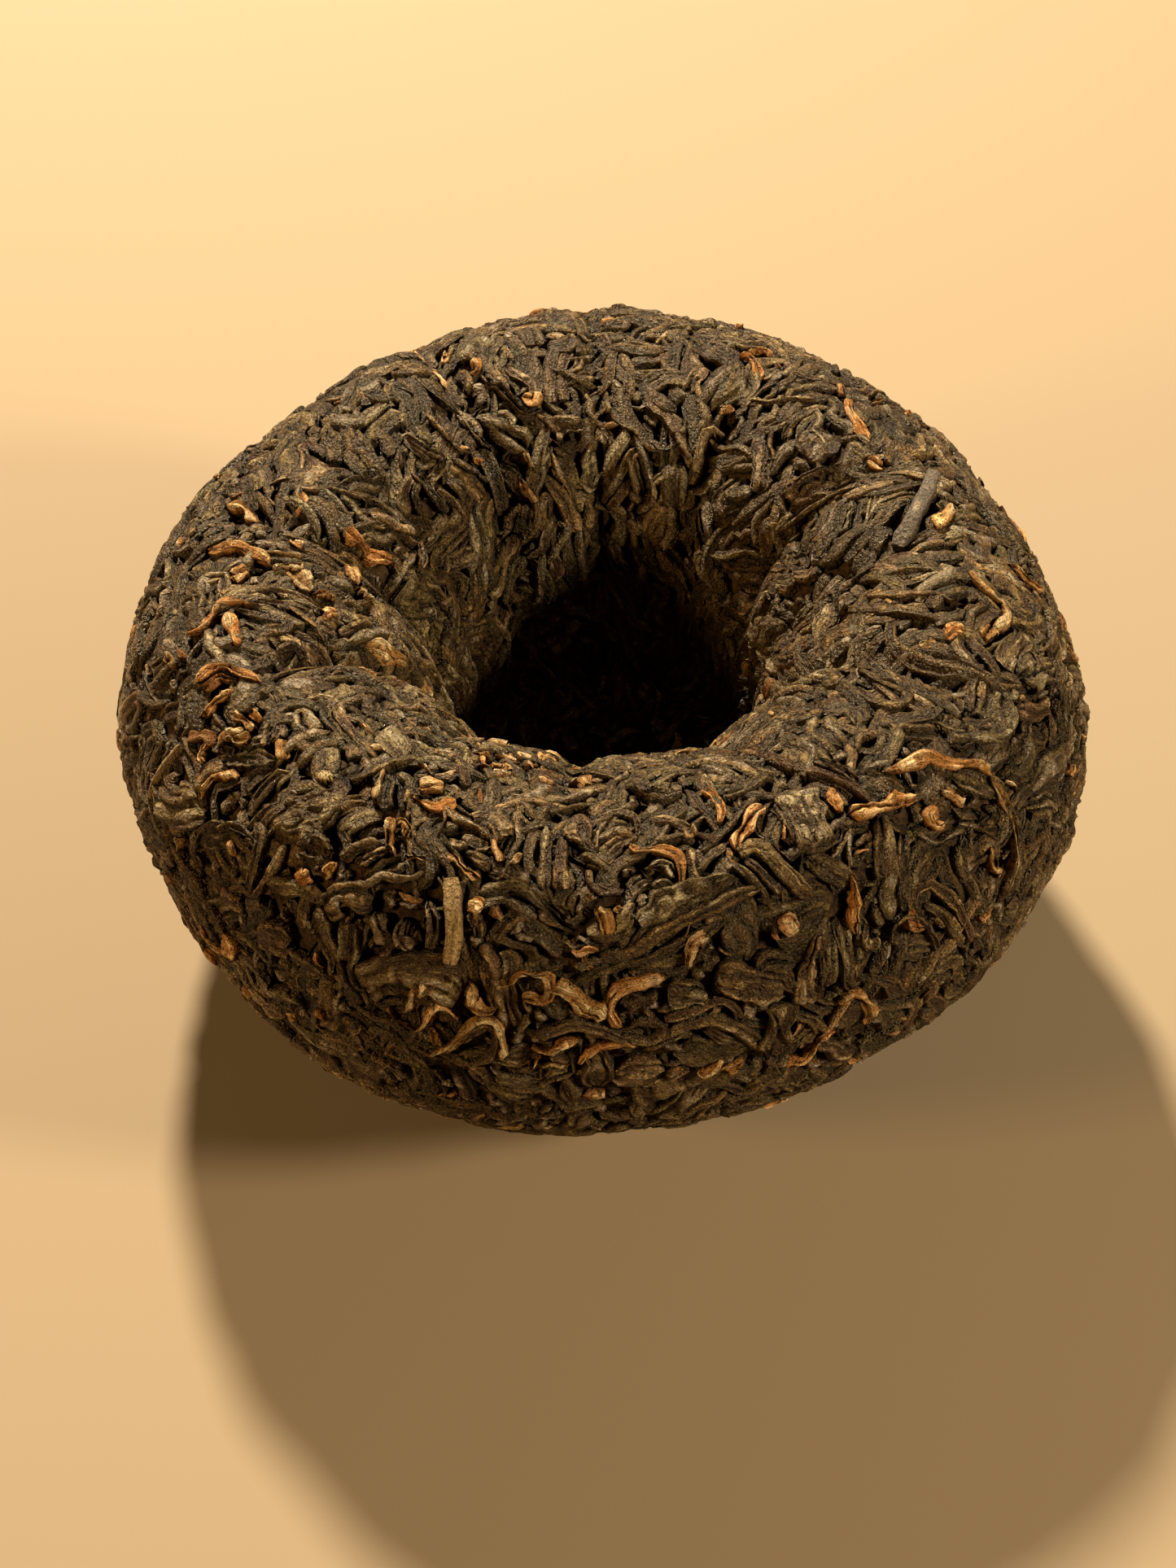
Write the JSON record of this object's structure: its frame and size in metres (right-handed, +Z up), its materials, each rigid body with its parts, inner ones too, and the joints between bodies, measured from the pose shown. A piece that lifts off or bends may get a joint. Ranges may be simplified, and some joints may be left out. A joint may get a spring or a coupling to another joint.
{
  "type": "pu-erh tuocha",
  "caption": "Nest-shaped cake of compressed dark tea: a domed bowl of tightly pressed leaf strips with a rolled rim and a deep funnel-shaped hollow in its upper side.",
  "frame": {"origin": "centre of the bounding box's underside, on the small flat spot that the dome stands on", "axes": "+Z up, out of the hollow; +Y away from the viewer of the picture, +X to the right"},
  "size_m": [0.082, 0.0842, 0.0426],
  "materials": {
    "tea_leaf": "matt, with a faint sheen on the pressed ridges",
    "tea_leaf_brown": "matt",
    "tea_tip_golden": "matt, slightly downy",
    "tea_stem": "matt"
  },
  "bodies": {
    "root": {"tuocha": "tea_leaf"}
  },
  "joints": []
}
